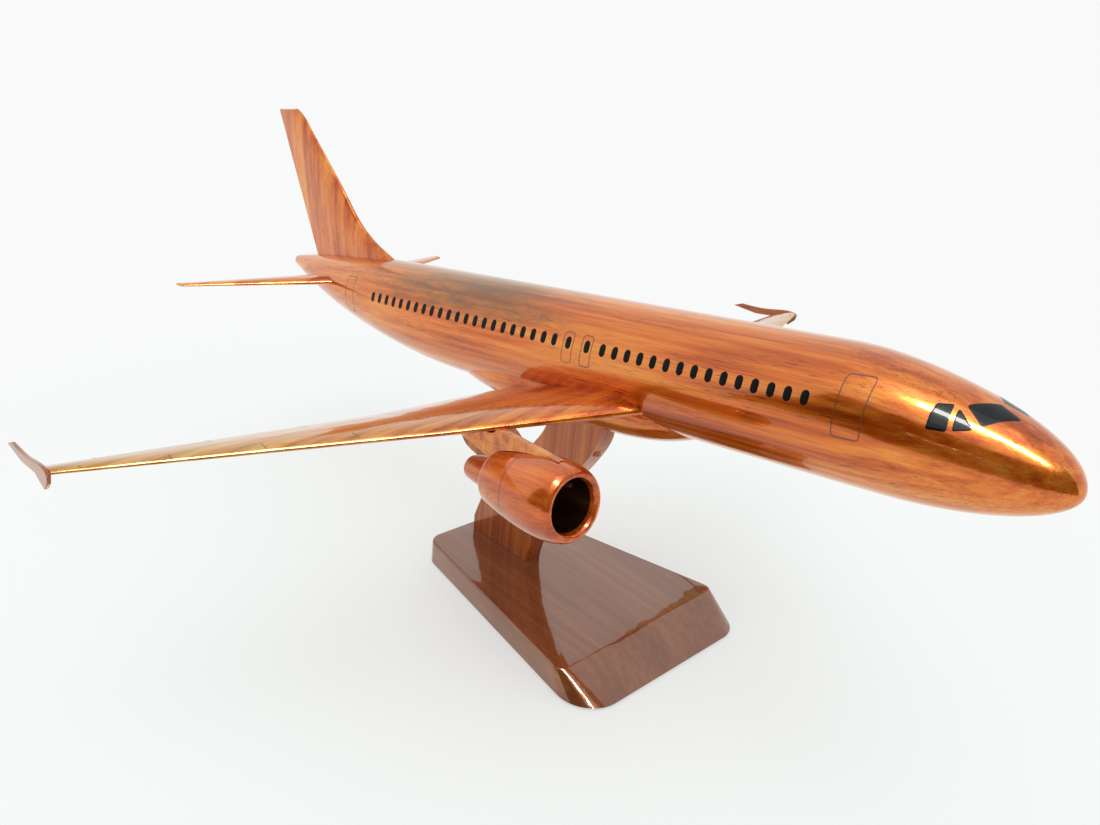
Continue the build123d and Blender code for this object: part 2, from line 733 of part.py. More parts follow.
lift_pegs.part.move(CRAFT)
lift_pegs.part.label = "lift_pegs"
export_step(lift_pegs.part, "parts/lift_pegs.step")

stand_upright.part.move(STAND)
stand_upright.part.label = "stand_upright"
export_step(stand_upright.part, "parts/stand_upright.step")

base_board.part.move(STAND)
base_board.part.label = "base_board"
export_step(base_board.part, "parts/base_board.step")

base_dowel.part.move(STAND)
base_dowel.part.label = "base_dowel"
export_step(base_dowel.part, "parts/base_dowel.step")

base_screws.part.move(STAND)
base_screws.part.label = "base_screws"
export_step(base_screws.part, "parts/base_screws.step")

felt_pad.part.move(STAND * BASE_TURN)
felt_pad.part.label = "felt_pad"
export_step(felt_pad.part, "parts/felt_pad.step")
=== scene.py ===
"""Looks of the wooden desktop airliner and its stand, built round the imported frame."""

import math

import bmesh
import bpy
import numpy as np
from mathutils import Matrix, Vector


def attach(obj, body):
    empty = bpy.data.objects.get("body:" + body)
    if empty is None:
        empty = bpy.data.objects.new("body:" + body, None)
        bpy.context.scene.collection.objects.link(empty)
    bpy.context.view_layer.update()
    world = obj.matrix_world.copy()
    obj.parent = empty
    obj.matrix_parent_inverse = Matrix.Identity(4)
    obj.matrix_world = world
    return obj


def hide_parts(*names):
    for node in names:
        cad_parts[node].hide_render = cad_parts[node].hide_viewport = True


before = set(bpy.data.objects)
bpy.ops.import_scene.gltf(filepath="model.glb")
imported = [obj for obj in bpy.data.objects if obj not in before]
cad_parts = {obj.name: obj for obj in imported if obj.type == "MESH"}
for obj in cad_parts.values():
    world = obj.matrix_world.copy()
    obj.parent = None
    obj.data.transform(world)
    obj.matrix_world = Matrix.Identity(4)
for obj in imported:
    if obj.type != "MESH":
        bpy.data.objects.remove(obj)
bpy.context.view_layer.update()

MM = 0.001

# Sizes are in millimetres. In the aircraft's own frame X is zero at the nose tip and grows forward,
# so a station, the distance behind the nose, is -X.
PITCH = math.radians(8.4)
PIVOT_STATION = 190.0
AXIS_HEIGHT = 101.3
FUSELAGE_LENGTH = 376.0
CABIN_RADIUS = 19.75
CABIN_FRONT = 64.0
NOSE_HEIGHT = -6.8
NOSE_TOP_LENGTH = 60.5
NOSE_BELLY_LENGTH = 46.3
NOSE_SIDE_LENGTH = 63.6
CROWN_TAPER_START = 273.0
BELLY_TAPER_START = 224.0
SIDE_TAPER_START = 230.0
TAIL_TOP = 13.6
TAIL_BOTTOM = 9.6
TAIL_HALF_WIDTH = 2.0
FIN_TIP = (383.4, 83.4)

nose_x = PIVOT_STATION * math.cos(PITCH) - NOSE_HEIGHT * math.sin(PITCH)
tail_x = (PIVOT_STATION - FIN_TIP[0]) * math.cos(PITCH) - FIN_TIP[1] * math.sin(PITCH)
CENTRE_SHIFT = -(nose_x + tail_x) / 2

# The aircraft's own frame, placed in the part's frame, still in millimetres.
CRAFT = (
    Matrix.Translation((CENTRE_SHIFT, 0, AXIS_HEIGHT))
    @ Matrix.Rotation(-PITCH, 4, "Y")
    @ Matrix.Translation((PIVOT_STATION, 0, 0))
)


# ---------------------------------------------------------------- mesh helpers
def craft_mesh(name, points, faces, node=None):
    """Smooth mesh object on the aircraft, from points in its own frame, replacing a CAD node."""
    mesh = bpy.data.meshes.new(name)
    placed = [tuple((CRAFT @ Vector(p)) * MM) for p in points]
    mesh.from_pydata(placed, [], faces)
    mesh.validate()
    mesh.shade_smooth()
    obj = bpy.data.objects.new(name, mesh)
    bpy.context.scene.collection.objects.link(obj)
    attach(obj, "aircraft")
    if node:
        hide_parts(node)
    return obj


def grid_faces(rows, columns, closed, flip=False):
    """Quads over a grid of points, row by row."""
    faces = []
    last = columns if closed else columns - 1
    for i in range(rows - 1):
        for j in range(last):
            k = (j + 1) % columns
            quad = (i * columns + j, i * columns + k, (i + 1) * columns + k, (i + 1) * columns + j)
            faces.append(quad[::-1] if flip else quad)
    return faces


def end_caps(rows, columns, flip=False):
    """Faces that close the first and last rows of a tube."""
    first = tuple(range(columns))[::-1]
    last = tuple(range((rows - 1) * columns, rows * columns))
    return [first[::-1], last[::-1]] if flip else [first, last]


def curve_through(knots, values, samples):
    """Smooth values between knots, by piecewise cubics with monotone slopes."""
    knots, values = np.asarray(knots, float), np.asarray(values, float)
    step = np.diff(knots)
    slope = np.diff(values) / step
    ends = np.concatenate([[slope[0]], slope, [slope[-1]]])
    before, after = ends[:-1], ends[1:]
    same = before * after > 0
    gap = np.concatenate([[step[0]], step, [step[-1]]])
    wa, wb = 2 * gap[1:] + gap[:-1], gap[1:] + 2 * gap[:-1]
    safe_before = np.where(same, before, 1)
    safe_after = np.where(same, after, 1)
    tangent = np.where(same, (wa + wb) / (wa / safe_before + wb / safe_after), 0)
    spot = np.clip(np.searchsorted(knots, samples, side="right") - 1, 0, len(step) - 1)
    t = (samples - knots[spot]) / step[spot]
    h = step[spot]
    return (
        values[spot] * (1 + 2 * t) * (1 - t) ** 2
        + h * tangent[spot] * t * (1 - t) ** 2
        + values[spot + 1] * t * t * (3 - 2 * t)
        - h * tangent[spot + 1] * t * t * (1 - t)
    )


def mirrored(points):
    return [(x, -y, z) for x, y, z in points]


def with_mirror(points, faces):
    """Points and faces of a right-hand shape together with its mirror image."""
    count = len(points)
    turned = [tuple(count + i for i in reversed(f)) for f in faces]
    return points + mirrored(points), faces + turned


def keep_edges_sharp(obj, degrees=45):
    """Smooth shading, but not across edges sharper than an angle."""
    obj.data.shade_smooth()
    obj.data.set_sharp_from_angle(angle=math.radians(degrees))


def paired(name, points, faces, material):
    """Right-hand piece of the aircraft and its mirror image, each in its CAD node's place."""
    right = craft_mesh(f"{name}_right", points, faces, f"{name}_right")
    turned = [tuple(reversed(f)) for f in faces]
    left = craft_mesh(f"{name}_left", mirrored(points), turned, f"{name}_left")
    for piece in (right, left):
        piece.data.materials.append(material)
    return right, left


# ---------------------------------------------------------------- materials
def new_material(name):
    """Empty node material, its tree and its output's surface socket."""
    material = bpy.data.materials.new(name)
    material.use_nodes = True
    tree = material.node_tree
    tree.nodes.clear()
    out = add_node(tree, "ShaderNodeOutputMaterial")
    return material, tree, out.inputs["Surface"]


def add_node(tree, kind, **settings):
    node = tree.nodes.new(kind)
    for key, value in settings.items():
        setattr(node, key, value)
    return node


def add_bump(tree, height, socket, strength, distance):
    bump = add_node(tree, "ShaderNodeBump")
    bump.inputs["Strength"].default_value = strength
    bump.inputs["Distance"].default_value = distance
    tree.links.new(height, bump.inputs["Height"])
    tree.links.new(bump.outputs[0], socket)


def ramp(tree, stops, source):
    node = add_node(tree, "ShaderNodeValToRGB")
    elements = node.color_ramp.elements
    while len(elements) < len(stops):
        elements.new(0.5)
    for element, (place, colour) in zip(elements, stops):
        element.position = place
        element.color = (*colour, 1)
    tree.links.new(source, node.inputs["Fac"])
    return node.outputs["Color"]


def streaks(tree, coordinates, scale, detail, roughness=0.6, distortion=0.0):
    """Noise stretched along the grain; scale is cycles per millimetre on each axis."""
    stretch = add_node(tree, "ShaderNodeMapping")
    stretch.inputs["Scale"].default_value = scale
    tree.links.new(coordinates, stretch.inputs["Vector"])
    noise = add_node(tree, "ShaderNodeTexNoise")
    noise.inputs["Scale"].default_value = 1.0
    noise.inputs["Detail"].default_value = detail
    noise.inputs["Roughness"].default_value = roughness
    noise.inputs["Distortion"].default_value = distortion
    tree.links.new(stretch.outputs["Vector"], noise.inputs["Vector"])
    return noise.outputs["Fac"]


def mix_colour(tree, factor, a, b):
    node = add_node(tree, "ShaderNodeMix", data_type="RGBA")
    for socket, value in ((node.inputs[0], factor), (node.inputs[6], a), (node.inputs[7], b)):
        if isinstance(value, tuple):
            socket.default_value = (*value, 1)
        else:
            tree.links.new(value, socket)
    return node.outputs[2]


def maths(tree, operation, a, b=0.0, clamp=False):
    node = add_node(tree, "ShaderNodeMath", operation=operation, use_clamp=clamp)
    for socket, value in zip(node.inputs, (a, b)):
        if isinstance(value, (int, float)):
            socket.default_value = value
        else:
            tree.links.new(value, socket)
    return node.outputs[0]


def lacquered_wood(
    name, stops, grain=(1.0, 1.0, 1.0), turn=(0, PITCH, 0), stained=False, pores=1.0,
    depth=0.64, coat_ior=1.5, tips=None,
):
    """Clear-lacquered wood: long grain, fine fibres, short dark pores, optional dark stain.

    Grain scales the pattern on each axis, and turn brings the object's axes to the grain's. Depth is
    how much of the light comes back from the fibres as a tinted sheen. Tips are the ramp's stops for
    the parts far from the centre line.
    """
    material, tree, surface = new_material(name)
    shader = add_node(tree, "ShaderNodeBsdfPrincipled")
    tree.links.new(shader.outputs[0], surface)
    place = add_node(tree, "ShaderNodeTexCoord")
    local = add_node(tree, "ShaderNodeMapping")
    local.inputs["Scale"].default_value = (1000, 1000, 1000)
    local.inputs["Rotation"].default_value = turn
    tree.links.new(place.outputs["Object"], local.inputs["Vector"])
    base = local.outputs["Vector"]

    # The tone adds up broad patches, bands and fine fibres.
    gx, gy, gz = grain
    broad = streaks(tree, base, (0.008 * gx, 0.07 * gy, 0.07 * gz), 3, 0.5, 0.4)
    bands = streaks(tree, base, (0.012 * gx, 0.42 * gy, 0.42 * gz), 5, 0.62, 0.25)
    fibres = streaks(tree, base, (0.05 * gx, 2.2 * gy, 2.2 * gz), 3, 0.6)
    tone = maths(
        tree, "ADD", maths(tree, "MULTIPLY", broad, 0.50), maths(tree, "MULTIPLY", bands, 0.55)
    )
    tone = maths(tree, "SUBTRACT", tone, 0.1)
    tone = maths(tree, "ADD", tone, maths(tree, "MULTIPLY", fibres, 0.15))
    colour = ramp(tree, stops, tone)

    split = add_node(tree, "ShaderNodeSeparateXYZ")
    tree.links.new(base, split.inputs[0])
    if tips:
        outward = maths(tree, "ABSOLUTE", split.outputs["Y"])
        outward = maths(tree, "SUBTRACT", outward, TIPS_START)
        outward = maths(tree, "DIVIDE", outward, TIPS_REACH, clamp=True)
        outward = maths(tree, "MULTIPLY", outward, 0.85)
        colour = mix_colour(tree, outward, colour, ramp(tree, tips, tone))

    # Pores are short dark dashes that come in patches.
    dashes = streaks(tree, base, (0.16 * gx, 3.4 * gy, 3.4 * gz), 1, 0.4)
    patches = streaks(tree, base, (0.02 * gx, 0.12 * gy, 0.12 * gz), 2, 0.5)
    mask = maths(tree, "MULTIPLY", maths(tree, "SUBTRACT", dashes, 0.60), 9.0, clamp=True)
    where = maths(tree, "MULTIPLY", maths(tree, "SUBTRACT", patches, 0.38), 4.0, clamp=True)
    mask = maths(tree, "MULTIPLY", maths(tree, "MULTIPLY", mask, where), 0.75 * pores)
    colour = mix_colour(tree, mask, colour, PORE_COLOUR)

    if stained:
        spread = maths(tree, "ABSOLUTE", maths(tree, "ADD", split.outputs["X"], STAIN_X))
        near = maths(tree, "SUBTRACT", 1.0, maths(tree, "DIVIDE", spread, STAIN_HALF), clamp=True)
        high = maths(tree, "SUBTRACT", split.outputs["Z"], STAIN_Z)
        high = maths(tree, "MULTIPLY", high, 0.16, clamp=True)
        cloud = streaks(tree, base, (0.045, 0.22, 0.22), 6, 0.72, 0.5)
        cloud = maths(tree, "SUBTRACT", cloud, 0.60)
        amount = maths(tree, "MULTIPLY", maths(tree, "MULTIPLY", near, high), 0.50)
        amount = maths(tree, "MULTIPLY", maths(tree, "ADD", amount, cloud), 2.6, clamp=True)
        amount = maths(tree, "MULTIPLY", amount, maths(tree, "MULTIPLY", near, 2.0, clamp=True))
        colour = mix_colour(tree, maths(tree, "MULTIPLY", amount, 0.8), colour, STAIN_COLOUR)

    tree.links.new(colour, shader.inputs["Base Color"])
    shader.inputs["Roughness"].default_value = 0.2
    shader.inputs["Metallic"].default_value = depth
    shader.inputs["Specular IOR Level"].default_value = 0.3
    shader.inputs["Specular Tint"].default_value = (1.0, 0.80, 0.52, 1)
    shader.inputs["Coat Weight"].default_value = 0.9
    shader.inputs["Coat Roughness"].default_value = 0.018
    shader.inputs["Coat IOR"].default_value = coat_ior

    # The grain shows very slightly through the lacquer, and the coat has a faint waviness.
    add_bump(tree, fibres, shader.inputs["Normal"], 0.12, 0.00005)
    wave = streaks(tree, base, (0.05, 0.09, 0.09), 1, 0.4)
    add_bump(tree, wave, shader.inputs["Coat Normal"], 0.35, 0.0006)
    return material


def plain(name, dark, light, roughness, scale, metallic=0.0, coat=0.0, bump=0.0, specular=0.5):
    """Small-scale mottled material for pieces that aren't lacquered wood."""
    material, tree, surface = new_material(name)
    shader = add_node(tree, "ShaderNodeBsdfPrincipled")
    tree.links.new(shader.outputs[0], surface)
    place = add_node(tree, "ShaderNodeTexCoord")
    noise = streaks(tree, place.outputs["Object"], tuple(1000 * s for s in scale), 4)
    tree.links.new(ramp(tree, [(0.3, dark), (0.7, light)], noise), shader.inputs["Base Color"])
    spread = maths(tree, "MULTIPLY", noise, 0.12)
    tree.links.new(maths(tree, "ADD", spread, roughness - 0.06), shader.inputs["Roughness"])
    shader.inputs["Metallic"].default_value = metallic
    shader.inputs["Specular IOR Level"].default_value = specular
    shader.inputs["Coat Weight"].default_value = coat
    shader.inputs["Coat Roughness"].default_value = 0.03
    if bump:
        add_bump(tree, noise, shader.inputs["Normal"], bump, 0.0001)
    return material


# The stain darkens the crown behind the wing. Its place is in the grain's axes, in millimetres.
nose_in_grain = Matrix.Rotation(PITCH, 4, "Y") @ (CRAFT @ Vector((0, 0, 0)))
STAIN_STATION = 222
STAIN_X = -(nose_in_grain.x - STAIN_STATION)
STAIN_HALF = 100.0
STAIN_Z = nose_in_grain.z + 6.0
STAIN_COLOUR = (0.11, 0.065, 0.028)
PORE_COLOUR = (0.055, 0.016, 0.006)

# How far out the golden tips begin, and over what distance they come in.
TIPS_START = 40.0
TIPS_REACH = 90.0

# Each wood is a ramp from its dark grain to its light grain.
MAHOGANY = [
    (0.28, (0.20, 0.018, 0.001)),
    (0.42, (0.48, 0.078, 0.004)),
    (0.52, (0.70, 0.168, 0.017)),
    (0.62, (0.79, 0.270, 0.034)),
    (0.76, (0.87, 0.410, 0.075)),
]
DEEP = [
    (0.28, (0.20, 0.020, 0.001)),
    (0.45, (0.48, 0.075, 0.006)),
    (0.58, (0.70, 0.150, 0.020)),
    (0.74, (0.84, 0.280, 0.060)),
]
STAND_WOOD = [
    (0.30, (0.130, 0.032, 0.008)),
    (0.48, (0.200, 0.056, 0.015)),
    (0.60, (0.250, 0.080, 0.024)),
    (0.74, (0.310, 0.110, 0.036)),
]
UPRIGHT_WOOD = [
    (0.30, (0.15, 0.020, 0.001)),
    (0.48, (0.34, 0.070, 0.006)),
    (0.60, (0.46, 0.125, 0.018)),
    (0.74, (0.56, 0.185, 0.038)),
]
# Wood darkened almost to black for the inside of the intake: painted shade for the deep recess.
INTAKE_SHADE = [
    (0.30, (0.010, 0.003, 0.001)),
    (0.50, (0.045, 0.014, 0.004)),
    (0.72, (0.150, 0.055, 0.016)),
]
GOLDEN = [
    (0.28, (0.22, 0.085, 0.016)),
    (0.45, (0.50, 0.260, 0.060)),
    (0.60, (0.66, 0.400, 0.130)),
    (0.76, (0.78, 0.540, 0.230)),
]
fuselage_wood = lacquered_wood("fuselage_wood", MAHOGANY, stained=True)
wing_wood = lacquered_wood("wing_wood", MAHOGANY, grain=(26.0, 0.05, 1.0), tips=GOLDEN)
fence_wood = lacquered_wood("fence_wood", UPRIGHT_WOOD, depth=0.35)
engine_wood = lacquered_wood("engine_wood", DEEP, grain=(1.6, 0.8, 0.8), depth=0.5)
fin_wood = lacquered_wood("fin_wood", MAHOGANY, grain=(22.0, 1.0, 0.06))
# The inside of the intake gets painted shade, much darker than the nacelle's own wood.
intake_painted_shade = lacquered_wood("intake_painted_shade", INTAKE_SHADE, grain=(1.6, 0.8, 0.8))
stand_wood = lacquered_wood(
    "stand_wood", STAND_WOOD, turn=(0, 0, 0), pores=0.5, depth=0.35, coat_ior=1.8
)
upright_wood = lacquered_wood(
    "upright_wood", UPRIGHT_WOOD, grain=(30.0, 1.0, 0.03), turn=(0, 0, 0), pores=0.5, depth=0.5
)
scribed = plain("scribed_line", (0.05, 0.012, 0.004), (0.11, 0.03, 0.01), 0.4, (0.5, 2, 2), coat=0.6)
black = plain(
    "window_black", (0.001, 0.0015, 0.002), (0.004, 0.006, 0.007), 0.3, (0.3, 0.3, 0.3), specular=0.12
)
pane_black = plain(
    "pane_black", (0.001, 0.002, 0.002), (0.004, 0.009, 0.010), 0.25, (0.2, 0.2, 0.2),
    coat=0.4, specular=0.1,
)
raw_wood = plain("dowel_wood", (0.50, 0.33, 0.17), (0.66, 0.47, 0.27), 0.6, (0.3, 3, 3), bump=0.3)
steel = plain("screw_steel", (0.42, 0.42, 0.42), (0.62, 0.62, 0.62), 0.3, (2, 2, 2), metallic=1.0)
felt = plain("felt", (0.018, 0.05, 0.032), (0.035, 0.085, 0.055), 0.95, (4, 4, 4), bump=1.0)


# ---------------------------------------------------------------- fuselage
CROWN_BLEND = 7.0  # how far each way the crown is averaged, behind the cockpit


def swell(station, length, power):
    """Share of the full half size at a station of the nose."""
    share = np.clip(station / length, 0, 1)
    return np.sqrt(np.maximum(0.0, 1 - (1 - share) ** power))


def taper(station, start):
    """Share of the tail taper reached at a station."""
    return np.clip((station - start) / (FUSELAGE_LENGTH - start), 0, None)


def hull_size(station):
    """Half width, top and bottom of the fuselage: the CAD's, with the kink in its crown smoothed."""
    station = np.asarray(station, float)
    blend = CROWN_BLEND * np.clip((station - 32) / 18, 0, 1)
    crown = sum(swell(station + blend * k, NOSE_TOP_LENGTH, 1.324) for k in (-1, -0.5, 0, 0.5, 1)) / 5
    top = NOSE_HEIGHT + (CABIN_RADIUS - NOSE_HEIGHT) * crown
    bottom = NOSE_HEIGHT - (CABIN_RADIUS + NOSE_HEIGHT) * swell(station, NOSE_BELLY_LENGTH, 1.94)
    half = CABIN_RADIUS * swell(station, NOSE_SIDE_LENGTH, 1.85)
    top = top - (CABIN_RADIUS - TAIL_TOP) * taper(station, CROWN_TAPER_START) ** 2.2
    bottom = bottom + (CABIN_RADIUS + TAIL_BOTTOM) * taper(station, BELLY_TAPER_START) ** 1.81
    half = half - (CABIN_RADIUS - TAIL_HALF_WIDTH) * taper(station, SIDE_TAPER_START) ** 2.3
    return half, top, bottom


def hull_point(station, z, lift):
    """Point on the right side of the hull at a station and height, raised by a lift."""
    half, top, bottom = hull_size(station)
    middle, tall = (top + bottom) / 2, (top - bottom) / 2
    rise = np.clip((z - middle) / tall, -0.9999, 0.9999)
    angle = math.asin(rise)
    return (-station, -(half + lift) * math.cos(angle), middle + (tall + lift) * math.sin(angle))


def ellipse_rows(stations, halves, tops, bottoms, columns):
    """Points of a tube of ellipses across the aircraft, one at each station."""
    points = []
    for s, w, t, b in zip(stations, halves, tops, bottoms):
        for j in range(columns):
            a = 2 * math.pi * j / columns
            points.append((-s, w * math.cos(a), (t + b) / 2 + (t - b) / 2 * math.sin(a)))
    return points


def make_tube(node, stations, halves, tops, bottoms, columns):
    """Closed tube of ellipses in the fuselage's wood, in a CAD node's place."""
    points = ellipse_rows(stations, halves, tops, bottoms, columns)
    rows = len(stations)
    faces = grid_faces(rows, columns, True) + end_caps(rows, columns)
    tube = craft_mesh(f"{node}_skin", points, faces, node)
    tube.data.materials.append(fuselage_wood)


def make_fuselage():
    """Hull with its rows close together at the nose and its tail end rounded over."""
    round_start, round_length = 374.4, 1.6
    nose = CABIN_FRONT * (1 - np.cos(np.linspace(0.02, math.pi / 2, 90))) ** 1.6
    tail = [372, 374, 375.2, 375.8, FUSELAGE_LENGTH]
    stations = np.unique(np.concatenate([nose, np.arange(66, FUSELAGE_LENGTH, 1.5), tail]))
    half, top, bottom = hull_size(stations)
    past = np.clip((stations - round_start) / round_length, 0, 1)
    close = np.maximum(np.sqrt(1 - past**2), 0.05)
    middle, tall = (top + bottom) / 2, (top - bottom) / 2
    make_tube("fuselage", stations, half * close, middle + tall * close, middle - tall * close, 160)


make_fuselage()


def make_fairing():
    """Pad under the wing box; its top is hidden inside the fuselage."""
    knots = [106, 110, 114, 119, 125, 132, 142, 156, 172, 188, 201, 213, 224, 236]
    halves = [7.0, 9.5, 11.6, 13.3, 14.8, 16.0, 16.9, 17.2, 17.2, 17.0, 16.3, 14.8, 12.4, 8.6]
    lows = [
        -16.5, -18.3, -19.9, -21.6, -23.2, -24.4, -25.3, -25.7, -25.8, -25.4, -24.6, -23.1, -21.2, -18.6
    ]
    stations = np.arange(knots[0], knots[-1] + 0.01, 1.0)
    half, low = curve_through(knots, halves, stations), curve_through(knots, lows, stations)
    make_tube("belly_fairing", stations, half, -9 + 0.5 * half, low, 128)


make_fairing()


# ---------------------------------------------------------------- windows, panes and scribed lines
WINDOW_Z = 6.84
WINDOW_PITCH = 5.44
WINDOW_RADIUS = 1.3  # half the width, and the radius of the round ends
WINDOW_STRAIGHT = 0.7  # half the straight part between the round ends
DOOR_WINDOW_STATIONS = [149.36, 158.22]
WINDOW_STATIONS = (
    [66.05 + WINDOW_PITCH * i for i in range(15)]
    + DOOR_WINDOW_STATIONS
    + [165.17 + WINDOW_PITCH * i for i in range(22)]
)
PANE_LIFT = 0.05
LINE_LIFT = 0.025


def window_patch(points, faces, station, lift):
    """One upright rounded pane lying on the hull."""
    rings, around = 4, 28
    start = len(points)
    points.append(hull_point(station, WINDOW_Z, lift))
    for ring in range(1, rings + 1):
        share = ring / rings
        for k in range(around):
            a = 2 * math.pi * k / around
            straight = math.copysign(WINDOW_STRAIGHT, math.sin(a)) if abs(math.sin(a)) > 1e-6 else 0
            ds = WINDOW_RADIUS * math.cos(a) * share
            dz = (WINDOW_RADIUS * math.sin(a) + straight) * share
            edge = 0.0 if ring < rings else -lift
            points.append(hull_point(station + ds, WINDOW_Z + dz, lift + edge))
    for k in range(around):
        m = (k + 1) % around
        faces.append((start, start + 1 + m, start + 1 + k))
        for ring in range(rings - 1):
            a, b = start + 1 + ring * around, start + 1 + (ring + 1) * around
            faces.append((a + k, a + m, b + m, b + k))


def make_windows():
    points, faces = [], []
    for station in WINDOW_STATIONS:
        window_patch(points, faces, station, PANE_LIFT)
    paired("cabin_windows", points, faces, black)


make_windows()


def round_outline(corners, radius, steps=6):
    """Closed outline with its corners replaced by arcs."""
    outline = []
    count = len(corners)
    for i in range(count):
        before, here, after = (Vector(corners[(i + k) % count]) for k in (-1, 0, 1))
        a, b = (before - here).normalized(), (after - here).normalized()
        half = a.angle(b) / 2
        shorter_side = min((before - here).length, (after - here).length)
        reach = min(radius / math.tan(half), shorter_side * 0.48)
        start, end = here + a * reach, here + b * reach
        for k in range(steps + 1):
            t = k / steps
            outline.append(start * (1 - t) ** 2 + here * 2 * t * (1 - t) + end * t * t)
    return outline


def densify(outline, step):
    """Closed outline with more points, no more than about a step apart."""
    dense = []
    for a, b in zip(outline, outline[1:] + outline[:1]):
        parts = max(1, int((b - a).length / step))
        dense += [a.lerp(b, k / parts) for k in range(parts)]
    return dense


def plan_point(station, y, lift):
    """Point on the upper right of the hull at a station and a distance from the centre."""
    half, top, bottom = hull_size(station)
    rise = math.sqrt(max(0.0, 1 - (y / (half + lift)) ** 2))
    return (-station, -y, (top + bottom) / 2 + ((top - bottom) / 2 + lift) * rise)


def convex_patch(points, faces, outline, project, lift, rings=8):
    """Pane lying on the hull inside a convex outline, its rim turned down to the skin."""
    centre = sum(outline, Vector((0, 0))) / len(outline)
    start, around = len(points), len(outline)
    points.append(project(*centre, lift))
    for ring in range(1, rings + 1):
        for spot in outline:
            where = centre.lerp(spot, ring / rings)
            points.append(project(*where, 0.0 if ring == rings else lift))
    for k in range(around):
        m = (k + 1) % around
        faces.append((start, start + 1 + k, start + 1 + m))
        for ring in range(rings - 1):
            a, b = start + 1 + ring * around, start + 1 + (ring + 1) * around
            faces.append((a + k, b + k, b + m, a + m))


def make_panes():
    """Windshield in plan, and the two side panes in side view, each on both sides."""
    points, faces = [], []
    windshield = [(15.6, 2.2), (21.8, 10.2), (27.3, 7.7), (21.8, 0.9)]
    outline = densify(round_outline(windshield, 0.9), 0.5)
    convex_patch(points, faces, outline, plan_point, PANE_LIFT)
    for corners in (
        [(28.4, 10.6), (23.0, 6.1), (27.5, 5.4)],
        [(29.5, 10.9), (33.2, 10.9), (33.6, 8.6), (33.4, 5.0), (28.6, 5.0)],
    ):
        outline = densify(round_outline(corners, 0.6), 0.4)
        convex_patch(points, faces, outline, hull_point, PANE_LIFT)
    points, faces = with_mirror(points, faces)
    panes = craft_mesh("cockpit_panes_skin", points, faces, "cockpit_panes")
    panes.data.materials.append(pane_black)


make_panes()


def ribbon(points, faces, line, across, closed, project, width, lift):
    """Flat line of a given width along 2D points; across gives each point's sideways way."""
    start, count = len(points), len(line)
    for spot, way in zip(line, across):
        for side in (-0.5, 0.5):
            points.append(project(*(spot + way * side * width), lift))
    for k in range(count if closed else count - 1):
        a, b = start + 2 * k, start + 2 * ((k + 1) % count)
        faces.append((a, a + 1, b + 1, b))


def loop_ways(line):
    """Sideways way at each point of a closed line."""
    ways = []
    for k in range(len(line)):
        along = (line[(k + 1) % len(line)] - line[k - 1]).normalized()
        ways.append(Vector((-along.y, along.x)))
    return ways


def make_lines(name, points, faces):
    """Scribed lines that lie on the aircraft's skin, on both sides."""
    points, faces = with_mirror(points, faces)
    lines = craft_mesh(name, points, faces)
    lines.data.materials.append(scribed)


def make_door_lines():
    points, faces = [], []
    for front, rear, low, high in (
        (48.9, 56.8, -1.3, 14.4),
        (147.2, 151.8, 0.3, 10.2),
        (156.0, 160.6, 0.3, 10.2),
        (297.5, 304.8, -2.4, 12.6),
    ):
        corners = [(front, low), (rear, low), (rear, high), (front, high)]
        line = densify(round_outline(corners, 1.3), 0.5)
        ribbon(points, faces, line, loop_ways(line), True, hull_point, 0.28, LINE_LIFT)
    make_lines("door_lines", points, faces)


make_door_lines()


# ---------------------------------------------------------------- wings and tail surfaces
TRAILING_EDGE = 0.5
WING_ROOT = 9.0
STABILIZER_ROOT = 3.0
# Each row is the distance out, the front and rear stations, their heights, and the thickness.
WING_ROWS = [
    (8.0, 121.9, 190.0, -11.4, -15.3, 8.2),
    (72.5, 152.1, 190.3, -12.6, -14.5, 4.3),
    (170.97, 198.2, 208.1, -13.6, -14.0, 1.6),
]
STABILIZER_ROWS = [
    (3.0, 313.8, 347.0, 7.0, 7.0, 4.4),
    (69.0, 351.0, 359.5, 8.2, 8.2, 1.3),
]


def half_thickness(share):
    """Half thickness of the common four-digit wing section, as a share of its full thickness."""
    half = 5 * (
        0.2969 * np.sqrt(share) - 0.1260 * share - 0.3516 * share**2
        + 0.2843 * share**3 - 0.1015 * share**4
    )
    return half * (1 - 0.02 * share)


def mean_line(share):
    """Height of the section's mean line as a share of its thickness."""
    return 0.55 * share**0.45 * (1 - share)


def chord_height(front_z, rear_z, thickness, share):
    """Height of the chord at a share of its length, with its front end raised a little."""
    return front_z + 0.08 * thickness * (1 - share) ** 6 + (rear_z - front_z) * share


def section_points(front, rear, front_z, rear_z, thickness, per_side=40):
    """Closed wing section, from the trailing edge over the top and back underneath."""
    share = (1 - np.cos(np.linspace(0, math.pi, per_side))) / 2
    edge = share * TRAILING_EDGE / 2
    upper = thickness * (mean_line(share) + half_thickness(share)) + edge
    lower = thickness * (mean_line(share) - half_thickness(share)) - edge
    x = -(front + (rear - front) * share)
    z = chord_height(front_z, rear_z, thickness, share)
    over = list(zip(x, z + upper))[::-1]
    under = list(zip(x, z + lower))[1:]
    return over + under


def upper_height(row, share):
    """Height of the upper face at a share of the chord."""
    _, _, front_z, rear_z, thickness = row
    rise = thickness * (mean_line(share) + half_thickness(share))
    return chord_height(front_z, rear_z, thickness, share) + rise + share * TRAILING_EDGE / 2


def row_at(rows, y):
    """Row's values at a distance out, between the rows given."""
    knots = [row[0] for row in rows]
    return [float(np.interp(y, knots, [row[k] for row in rows])) for k in range(1, 6)]


